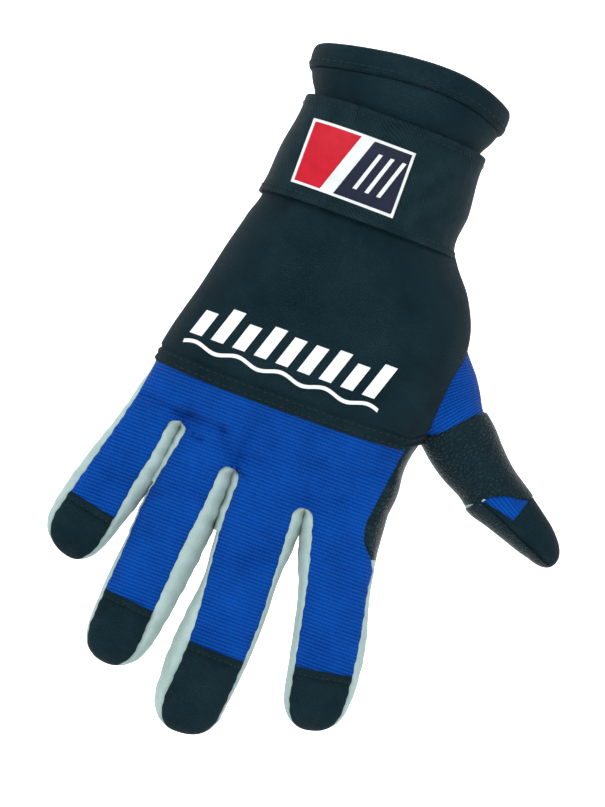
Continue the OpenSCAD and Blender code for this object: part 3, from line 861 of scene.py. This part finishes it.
# How far along each finger its root pieces end and its tip pieces begin.
SPLIT = {"little": 13.5, "ring": 19.5, "middle": 20.0, "index": 17.5}
FINGER_WALL = 0.9
CAP_PROUD = 0.95        # how far the cap stands off the skin
SHORT = 0.02            # how far a piece stops before the very tip


def bend(piece):
    """Bakes a finger piece's placement into its points."""
    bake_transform(piece)


def run_of(name, part, last):
    """Where a root or tip piece begins, None being the crotch, and where it stops."""
    return (None, SPLIT[name]) if part == "root" else (SPLIT[name], last)


def finger_node(name, part, what):
    """The finger's CAD node that a root or tip piece stands for."""
    return f"{name}_{what}" if part == "root" else f"{name}_tip_{what}"


def finger_strip(name, part, face, last, label, what, material):
    """A strip of cloth down a finger's back (face -1) or palm (face 1). Its seams lie less
    deep towards the tip."""
    finger = FINGERS[name]
    begin, stop = run_of(name, part, last)
    left, right = (seam_rows(name, side, face, stop, begin) for side in "lr")
    ramp = closing(finger, left[1]) * seam_ramp(left[1], begin)
    points = strip_points(finger, left, right, face, ramp)
    piece = sheet(f"{name}_{label}_{part}", points, points[..., ::2], material,
                  wall=FINGER_WALL, away=(0, face, 0))
    bend(piece)
    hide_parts(finger_node(name, part, what))


def finger_cap(name):
    """The back's last length in neoprene. It stands CAP_PROUD off the skin, with a rolled
    edge, a bead 1.4 mm in and a groove 3.3 mm in, and its seams lie 0.6 as deep."""
    finger = FINGERS[name]
    left, right = (seam_rows(name, side, -1, finger["length"] - SHORT, finger["cap"])
                   for side in "lr")
    points = strip_points(finger, left, right, -1, 0.6 * np.ones(len(left[0])))
    inward = (left[1] - finger["cap"])[:, None]
    proud = (CAP_PROUD * ease(inward / 0.7) - 0.85 * np.exp(-((inward - 3.3) / 0.55) ** 2)
             + 0.3 * np.exp(-((inward - 1.4) / 0.8) ** 2))
    points[..., 1] -= proud * closing(finger, left[1])[:, None]
    cap = sheet(f"{name}_cap", points, points[..., ::2], neoprene,
                wall=FINGER_WALL, away=(0, -1, 0))
    bend(cap)
    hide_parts(f"{name}_tip_cap")


def cap_stitches(name):
    """A row of stitches across the cap, 2.2 mm in from its edge and 0.6 mm off both seams."""
    finger = FINGERS[name]
    t = finger["cap"] + 2.2
    s = np.linspace(outline(finger, "seam_l", t) + 0.6, outline(finger, "seam_r", t) - 0.6, 60)
    x, z = on_plan(finger, s, t)
    path = np.stack([x, skin_y(x, z, -1) - CAP_PROUD, z], -1)
    row = stitches(f"{name}_cap_stitches", path, path * 0 + [0, -1, 0], black_thread,
                   pitch=2.0, length=1.5, thick=0.3)
    bend(row)


for name, finger in FINGERS.items():
    for part in ("root", "tip"):
        finger_strip(name, part, -1, finger["cap"] + 2, "strip", "back", knit)
    finger_cap(name)
    cap_stitches(name)


# ---------------------------------------------------------------------------
# Finger sides and hand edges: long strips of pale grey synthetic suede that join the backs to
# the palm, and pucker a little at the seams. The index finger's outer side starts in a black
# pebbled grip patch.

def suede_height(tree, place):
    """Short uneven nap."""
    return sum_of(tree, noise(tree, place, 2.2, 5.0, 0.7), noise(tree, place, 0.5), 0.4)


def suede_colour(tree, place):
    """Pale grey-green, brushed lighter and darker in patches."""
    brushed = sum_of(tree, noise(tree, place, 0.12, 3.0), noise(tree, place, 1.6, 3.0), 0.45)
    return between(tree, brushed, (0.27, 0.385, 0.370), (0.40, 0.525, 0.510), 0.3, 1.0)


def pebble_height(tree, place):
    """Rounded pebbles about 1.1 mm across and 1.6 mm long, with grooves between them and
    fine pores on top."""
    bent = node(tree, "ShaderNodeMixRGB", {"blend_type": "ADD"}, i0=0.9, i1=place, i2=node(
        tree, "ShaderNodeTexNoise", Vector=place, Scale=0.3).outputs["Color"]).outputs[0]
    drawn = node(tree, "ShaderNodeVectorMath", {"operation": "MULTIPLY"}, i0=bent,
                 i1=(1.2, 0.8, 1.0)).outputs[0]
    cells = node(tree, "ShaderNodeTexVoronoi", {"feature": "DISTANCE_TO_EDGE"}, Vector=drawn,
                 Scale=0.78)
    rounded = node(tree, "ShaderNodeMapRange", {"interpolation_type": "SMOOTHSTEP"},
                   i0=cells.outputs["Distance"], i1=0.0, i2=0.42, i3=0.0, i4=1.0).outputs[0]
    return sum_of(tree, rounded, noise(tree, place, 2.5), 0.25)


def pebble_colour(tree, place):
    """Near-black synthetic leather, with painted shade in the grooves and a painted highlight on
    the pebble tops.
    """
    # painted shade in the grooves and painted highlight on the tops, from pebble_height
    return between(tree, pebble_height(tree, place), (0.002, 0.006, 0.008),
                   (0.008, 0.019, 0.025), 0.1, 1.1)


suede = finish_material("synthetic_suede", suede_colour, suede_height, 0.16, Roughness=0.85,
                        Sheen_Weight=0.12, Sheen_Roughness=0.4, Specular_IOR_Level=0.2)
grip = finish_material("pebbled_grip", pebble_colour, pebble_height, 0.4, Roughness=0.42,
                       Specular_IOR_Level=0.2, Specular_Tint=(0.35, 0.8, 1, 1))


def side_grid(back, palm, swell, pucker=0.0):
    """Grid round an edge from the back's seam to the palm's, given as rows of points: the
    straight line between the two plus swell, a row of vectors, times sin(pi u)^0.7. pucker
    is how much two sine waves along the back's seam swell it there."""
    u = np.linspace(0, 1, 19)
    share = (1 - np.cos(math.pi * u)) / 2
    bow = np.sin(math.pi * u) ** 0.7
    points = back[:, None] + (palm - back)[:, None] * share[:, None]
    reach = distance_along(back)
    wavy = 1 + pucker * (np.sin(reach * 1.1) + np.sin(reach * 0.63 + 2))[:, None] * (1 - share)
    return points + swell[:, None] * (bow * wavy)[..., None]


CROTCH_REACH, SIDE_REACH, TIP_REACH = 2.6, 2.2, 0.7     # least swell of a finger's side
# How deep a side's edges start under the back and the palm. They go on SEAM_DEEP under them.
CROTCH_TUCK, OUTER_TUCK = 1.1, 0.25


def finger_side(name, side, split, begin=None):
    """Both edges of one side of a finger between two distances along it, and its swell, as
    rows of points and vectors. Its edges are tucked under the back and the palm."""
    finger = FINGERS[name]
    lean = math.radians(finger["lean"])
    outer = (name, side) in (("little", "l"), ("index", "r"))
    rows = {face: seam_rows(name, side, face, split, begin) for face in (-1, 1)}
    edges = []
    for face in (-1, 1):
        s, t = rows[face]
        x, z = on_plan(finger, s, t)
        first = OUTER_TUCK if outer else CROTCH_TUCK
        tuck = SEAM_DEEP + (first - SEAM_DEEP) * (1 - seam_ramp(t, begin))
        edges.append(np.stack([x, skin_y(x, z, face) - face * tuck, z], -1))
    s, t = rows[-1]
    out = -1 if side == "l" else 1
    reach = out * (outline(finger, "side_" + side, t) - (s + rows[1][0]) / 2)
    if begin is None and not outer:
        reach = (np.maximum(reach, SIDE_REACH)
                 + (CROTCH_REACH - SIDE_REACH) * (1 - ease((t - t[0]) / 8)))
    reach = np.maximum(reach, TIP_REACH) * closing(finger, t) ** 0.5
    aside = np.array([math.cos(lean), 0, math.sin(lean)]) * out
    return edges[0], edges[1], reach[:, None] * aside


def hand_edge(column):
    """Edges and swell of the hand's edge beside the knuckle panel: column 0 is the little
    finger's side and -1 the index finger's. The swell turns into the finger's own."""
    edges = []
    for face, top in ((-1, BACK_TOP), (1, PALM_TOP)):
        x, z = (line[:, column] for line in knuckle_grid(face, top))
        edges.append(np.stack([x, skin_y(x, z, face) - face * OUTER_TUCK, z], -1))
    z = edges[0][:, 2]
    middle = (edges[0][:, 0] + edges[1][:, 0]) / 2
    table = HAND_LEFT if column == 0 else HAND_RIGHT
    swell = np.stack([along(z, HAND_Z, table) - middle, z * 0, z * 0], -1)
    name, side = ("little", "l") if column == 0 else ("index", "r")
    _, _, onward = finger_side(name, side, SPLIT[name])
    share = ease((np.arange(len(z)) / (len(z) - 1) - 0.4) / 0.6)[:, None]
    return edges[0], edges[1], swell * (1 - share) + onward[0] * share


def side_sheet(name, parts, material, pucker=0.0):
    """A side piece from one or two runs of edge points laid end to end."""
    back, palm, swell = (np.concatenate([run[i] if n == 0 else run[i][1:]
                                         for n, run in enumerate(parts)]) for i in range(3))
    points = side_grid(back, palm, swell, pucker)
    uv = np.stack([points[..., 1], points[..., 2]], -1)
    return sheet(name, points, uv, material, wall=FINGER_WALL, away=swell.mean(0))


edge_piece = side_sheet("little_hand_edge", [hand_edge(0)], suede)
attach(edge_piece, "hand")
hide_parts("crotch_gussets")
GRIP_END = 10.0         # how far along the index finger its grip patch reaches
PUCKER = 0.08
patch = side_sheet("index_grip_side", [hand_edge(-1), finger_side("index", "r", GRIP_END)],
                   grip)
bend(patch)
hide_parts("index_side_patch")
for name, finger in FINGERS.items():
    for side in "lr":
        for part in ("root", "tip"):
            begin, stop = run_of(name, part, finger["length"] - SHORT)
            if name == "index" and side == "r" and part == "root":
                begin = GRIP_END
            piece = side_sheet(f"{name}_side_{side}_{part}",
                               [finger_side(name, side, stop, begin)], suede, PUCKER)
            bend(piece)
            if side == "l":
                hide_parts(finger_node(name, part, "sides"))


# ---------------------------------------------------------------------------
# Palm: the same suede from the cuff to the fingertips, with two raised grip patches sewn on,
# one under the knuckles and one on the heel of the hand.

PALM_WALL = 1.2
angle, z = np.meshgrid(np.linspace(0, math.pi, 141), np.linspace(PANEL_TOP, KNUCKLE_TOP, 90))
middle, half = span(z, HAND_Z, HAND_LEFT, HAND_RIGHT)
out = 0.4 * ease((-57 - z) / 6) * ease((z - KNUCKLE_TOP) / 14)
x = middle + (half + out) * signed_power(np.cos(angle), 2 / ROUND)
y = (along(z, HAND_Z, HAND_PALM) + out) * signed_power(np.sin(angle), 2 / ROUND)
palm_upper = sheet("palm_upper", np.stack([x, y, z], -1), np.stack([x, z], -1), suede,
                   wall=PALM_WALL, away=(0, 1, 0))
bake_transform(palm_upper)
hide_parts("palm_panel")
gx, gz = knuckle_grid(1, PALM_TOP)
palm_lower = sheet("palm_lower", np.stack([gx, skin_y(gx, gz, 1), gz], -1),
                   np.stack([gx, gz], -1), suede, wall=PALM_WALL, away=(0, 1, 0))
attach(palm_lower, "hand")
for name, finger in FINGERS.items():
    for part in ("root", "tip"):
        finger_strip(name, part, 1, finger["length"] - SHORT, "palm", "palm", suede)

GRIP_LOW, GRIP_HIGH = 0.45, 1.3     # a patch's edge and its face, off the palm


def palm_grip(name, outline_points, node_name):
    """A grip patch on the palm inside a smooth closed outline (x, z): rings that shrink to
    its middle, raised to GRIP_HIGH, with a rolled edge as a quarter of an ellipse."""
    corners = np.array(outline_points[-2:] + outline_points + outline_points[:3], float)
    turn = np.linspace(2, 2 + len(outline_points), 121)
    rim = np.stack([along(turn, np.arange(len(corners)), corners[:, i]) for i in (0, 1)], -1)
    middle = rim[:-1].mean(0)
    share = np.concatenate([[0.0], np.linspace(0.06, 0.95, 26), [0.97, 0.985, 1.0]])
    plan = middle + (rim - middle)[:, None] * share[None, :, None]
    x, z = plan[..., 0], plan[..., 1]
    rolled = np.clip((share - 0.95) / 0.05, 0, 1)
    lift = GRIP_LOW + (GRIP_HIGH - GRIP_LOW) * np.sqrt(1 - rolled ** 2)
    points = np.stack([x, skin_y(x, z, 1) + lift[None, :], z], -1)
    piece = sheet(name, points, plan, grip, away=(0, 1, 0), weld=True)
    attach(piece, "hand")
    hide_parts(node_name)
    inner = middle + (rim - middle) * 0.93
    x, z = inner.T
    path = np.stack([x, skin_y(x, z, 1) + GRIP_HIGH, z], -1)
    row = stitches(f"{name}_stitches", path, path * 0 + [0, 1, 0], black_thread)
    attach(row, "hand")


palm_grip("palm_grip", [(-42, -126), (-32, -132), (0, -134), (34, -136), (40, -126),
                        (38, -112), (20, -102), (-10, -104), (-36, -112)], "palm_patch")
palm_grip("heel_grip", [(-34, -74), (-12, -72), (-8, -86), (-14, -100), (-32, -104),
                        (-40, -96), (-39, -84)], "heel_patch")


# ---------------------------------------------------------------------------
# Thumb: a blue knit gusset at its root, a wrap of pebbled grip round its middle, a blue knit
# window behind the tip, a smooth black cap, and a pebbled pad on the palm side.

# The thumb's root and its two directions, 33 degrees off square to the forearm, then how far
# its skin lies towards the wrist, towards the index finger and towards the back and palm,
# each as (distances along, sizes).
THUMB_BASE = np.array([55.5, 3.0, -111.5])
THUMB_ALONG = np.array([0.8387, 0.0, -0.5446])
THUMB_ASIDE = np.array([0.5446, 0.0, 0.8387])
THUMB_UP = ([-4, 2, 7, 14, 21, 33, 43, 50], [11.9, 11.8, 11.1, 9.2, 7.8, 7.4, 6.8, 6.3])
THUMB_DOWN = ([-4, 4, 11, 20, 24, 33, 43, 50], [12.0, 13.1, 13.2, 12.4, 12.9, 10.6, 8.0, 6.4])
THUMB_DEEP = ([-4, 10, 25, 40, 50], [10.6, 10.0, 9.3, 8.2, 7.4])
THUMB_ROUND, THUMB_END = 43.5, 57.4     # where the tip's rounding begins and ends
THUMB_MIDDLE = -1.2     # how far aside the tip lies
THUMB_SPLIT = 12.0      # between the wrap's two lengths
SQUARE = 0.92           # power of the rings: 1 is an ellipse, less is squarer
THUMB_RADIUS = 11
THUMB_ROLL = 0.75       # how deep a piece's edge rounds down at its seam


def thumb_skin(t, turn, offset=0.0):
    """Point on the thumb at a distance along it and an angle round it: 0 faces the wrist,
    pi / 2 the back, pi the index finger. The ring is two half ellipses of different heights,
    drawn in to a rounded tip: (1 - u^2.2)^(1/2.2)."""
    t, turn, offset = np.broadcast_arrays(np.asarray(t, float), turn, offset)
    u = np.clip((t - THUMB_ROUND) / (THUMB_END - THUMB_ROUND), 0, 1)
    close = (1 - u ** 2.2) ** (1 / 2.2)
    cosine, sine = np.cos(turn), np.sin(turn)
    high = np.where(cosine > 0, along(t, *THUMB_UP), along(t, *THUMB_DOWN)) + offset
    deep = along(t, *THUMB_DEEP) + offset
    aside = THUMB_MIDDLE + (high * signed_power(cosine, SQUARE) - THUMB_MIDDLE) * close
    y = deep * signed_power(sine, SQUARE) * close
    return (THUMB_BASE + t[..., None] * THUMB_ALONG + aside[..., None] * THUMB_ASIDE
            - y[..., None] * [0, 1, 0])


def aside_at(turn):
    """A thumb point's usual distance aside, for drawing its seams by angle."""
    return np.where(np.cos(turn) > 0, 9.5, 12.8) * np.cos(turn)


def thumb_bend(piece):
    """Bakes a thumb piece's placement into its points."""
    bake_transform(piece)


def thumb_band(name, t_from, t_to, turn_from, turn_to, offset, material, slot, part, rows=50,
               rolled=(1.0, 1.0), weld=False):
    """A piece round the thumb between two seams and two angles. The seams are distances along
    as functions of the angle. rolled is how wide each seam's edge rounds down, in mm."""
    turn, v = np.meshgrid(np.linspace(turn_from, turn_to, 90),
                          (1 - np.cos(np.linspace(0, math.pi, rows))) / 2)
    first, last = t_from(turn), t_to(turn)
    t = first + (last - first) * v
    down = np.zeros(t.shape)
    for gap, width in ((t - first, rolled[0]), (last - t, rolled[1])):
        if width:
            near = 1 - np.clip(gap / width, 0, 1)
            down = np.maximum(down, 1 - np.sqrt(1 - near ** 2))
    points = thumb_skin(t, turn, offset - THUMB_ROLL * down)
    uv = np.stack([t, turn * THUMB_RADIUS], -1)
    piece = sheet(name, points, uv, material, wall=FINGER_WALL, weld=weld)
    thumb_bend(piece)
    return piece


def level(value):
    """A seam straight round the thumb."""
    return lambda turn: np.full(np.shape(turn), float(value))


def wrap_top(turn):
    """The wrap's seam to the gusset, nearer the tip on the wrist's side."""
    return np.interp(aside_at(turn), [-13, -9.5, -6.2, 1.55, 5.7, 10.8],
                     [-7.5, -5.2, -3.6, -2.3, -1.3, 1.4])


def wrap_low(turn):
    """The wrap's seam to the tip pieces, nearer the tip on the wrist's side."""
    return along(aside_at(turn), [-13, -8.5, -4.5, -1, 2.5, 6.9, 10],
                 [22.6, 24.4, 24.8, 27.0, 30.4, 33.6, 34.4])


def cap_start(turn):
    """The cap's seam: close behind the wrap's except round the window."""
    return np.interp(aside_at(turn), [-8, -6.6, -4.0, 3.9, 10], [24.0, 26.0, 36.0, 34.2, 33.6])


def root_line(u):
    """Points (x, z) of the thumb root's middle line and its direction there: a quadratic
    Bezier curve from the hand's edge to THUMB_BASE."""
    a, b, c = (np.array(p, float) for p in ((36, -84), (42, -102.7), (55.5, -111.5)))
    u = u[..., None]
    line = (1 - u) ** 2 * a + 2 * u * (1 - u) * b + u ** 2 * c
    way = (1 - u) * (b - a) + u * (c - b)
    return line, way / np.linalg.norm(way, axis=-1, keepdims=True)


ROOT_LONG, ROOT_RADIUS = 36, 12


def root_band(name, turn_from, turn_to, offset, material):
    """A piece of the tube that bends from the side of the hand to the thumb's first seam: two
    half ellipses of different heights carried along root_line and 2.4 mm straight on."""
    turn, u = np.meshgrid(np.linspace(turn_from, turn_to, 90), np.linspace(0, 1.08, 70))
    line, way = root_line(np.minimum(u, 1))
    beyond = np.maximum(u - 1, 0) * 30
    x, z = line[..., 0] + way[..., 0] * beyond, line[..., 1] + way[..., 1] * beyond
    high = np.where(np.cos(turn) > 0, along(u, [0, 0.5, 0.75, 1], [12, 14.8, 14.0, 11.7]),
                    along(u, [0, 0.5, 1], [12, 13.0, 11.2])) + offset
    deep = along(u, [0, 0.5, 1], [14, 12.4, 10.6]) + offset
    aside = high * signed_power(np.cos(turn), SQUARE)
    y = 4 - np.minimum(u, 1) - deep * signed_power(np.sin(turn), SQUARE)
    points = np.stack([x - way[..., 1] * aside, y, z + way[..., 0] * aside], -1)
    uv = np.stack([turn * ROOT_RADIUS, u * ROOT_LONG], -1)
    piece = sheet(name, points, uv, material, wall=FINGER_WALL)
    thumb_bend(piece)
    return piece


gusset = root_band("thumb_gusset", math.radians(-42), math.radians(222), 0.0, knit)
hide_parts("thumb_gusset")
root_grip = root_band("thumb_root_grip", math.radians(198), math.radians(322), 0.5, grip)
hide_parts("thumb_root_patch")
full = (0.0, 2 * math.pi)
wrap = thumb_band("thumb_wrap_root", wrap_top, level(THUMB_SPLIT), *full, 0.5, grip, "grip",
                  "root", rolled=(1.0, 0), weld=True)
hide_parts("thumb_wrap", "thumb_base_palm")
thumb_band("thumb_wrap_end", level(THUMB_SPLIT), wrap_low, *full, 0.5, grip, "grip", "tip",
           rolled=(0, 1.0), weld=True)
window = thumb_band("thumb_window", level(18), level(42), *full, -0.35, knit, "knit", "tip",
                    rolled=(0, 0), weld=True)
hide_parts("thumb_tip_window")
cap = thumb_band("thumb_cap", cap_start, level(THUMB_END), math.radians(-40),
                 math.radians(130), 0.1, neoprene, "neoprene", "tip", rows=70, rolled=(0.8, 0))
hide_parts("thumb_tip_cap", "thumb_tip_sides")
thumb_band("thumb_pad_raw_edge", level(22.3), level(24.6), math.radians(118),
           math.radians(320), 0.45, suede, "suede", "tip", rows=10, rolled=(0.3, 0.3))
pad = thumb_band("thumb_pad", level(23.2), level(THUMB_END),
                 math.radians(124), math.radians(324), 0.85, grip, "grip", "tip", rows=70,
                 rolled=(0.6, 0))
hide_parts("thumb_tip_pad")


# ---------------------------------------------------------------------------
# View: a long lens looking square at the back of the glove, the wrist leaning to the right, a
# pale floor, four pale walls that glow faintly, and soft light from large panels. All in metres.

data = bpy.data.cameras.new("view")
data.lens, data.sensor_width = 100, 36
camera = bpy.data.objects.new("view", data)
bpy.context.collection.objects.link(camera)
bpy.context.scene.camera = camera
lean = math.radians(20)
axes = Matrix(((math.cos(lean), -math.sin(lean), 0), (0, 0, -1),
               (math.sin(lean), math.cos(lean), 0)))
camera.matrix_world = Matrix.Translation((0.0023, -0.773, -0.1207)) @ axes.to_4x4()

FLOOR, SPAN, HIGH = -1.1, 1.7, 2.4


def studio_plane(name, glow, corners):
    """A pale matt plane that glows evenly."""
    studio = bpy.data.materials.new(f"studio_{name}")
    studio.use_nodes = True
    paint = studio.node_tree.nodes["Principled BSDF"].inputs
    paint["Base Color"].default_value = (0.8, 0.8, 0.8, 1)
    paint["Roughness"].default_value = 0.9
    paint["Emission Color"].default_value = (1, 1, 1, 1)
    paint["Emission Strength"].default_value = glow
    mesh = bpy.data.meshes.new(name)
    mesh.from_pydata(corners, [], [(0, 1, 2, 3)])
    mesh.materials.append(studio)
    plane = bpy.data.objects.new(name, mesh)
    bpy.context.collection.objects.link(plane)


ground = [(-SPAN, -SPAN), (SPAN, -SPAN), (SPAN, SPAN), (-SPAN, SPAN)]
studio_plane("floor", 0.3, [(x, y, FLOOR) for x, y in ground])
for name, glow, first in (("wall_front", 0.28, 0), ("wall_left", 0.28, 3),
                          ("wall_right", 0.28, 1), ("wall_back", 0.8, 2)):
    a, b = ground[first], ground[(first + 1) % 4]
    studio_plane(name, glow, [(*a, FLOOR), (*b, FLOOR), (*b, HIGH), (*a, HIGH)])


def panel_light(name, place, size, power, target=(0, 0, -0.12)):
    """A square soft light that faces the glove."""
    light = bpy.data.lights.new(name, "AREA")
    light.size, light.energy = size, power
    lamp = bpy.data.objects.new(name, light)
    lamp.location = place
    lamp.rotation_euler = (Vector(target) - Vector(place)).to_track_quat("-Z", "Y").to_euler()
    bpy.context.collection.objects.link(lamp)


panel_light("key_light", (-0.5, -0.9, 0.75), 0.7, 7.5)
panel_light("fill_light", (0.9, -0.9, 0.1), 0.9, 1.6)
panel_light("top_light", (0, 0.1, 1.5), 1.2, 5)

world = bpy.data.worlds.new("studio")
bpy.context.scene.world = world
world.use_nodes = True
world.node_tree.nodes["Background"].inputs["Color"].default_value = (1, 1, 1, 1)
world.node_tree.nodes["Background"].inputs["Strength"].default_value = 0.2
bpy.context.scene.view_settings.view_transform = "Standard"
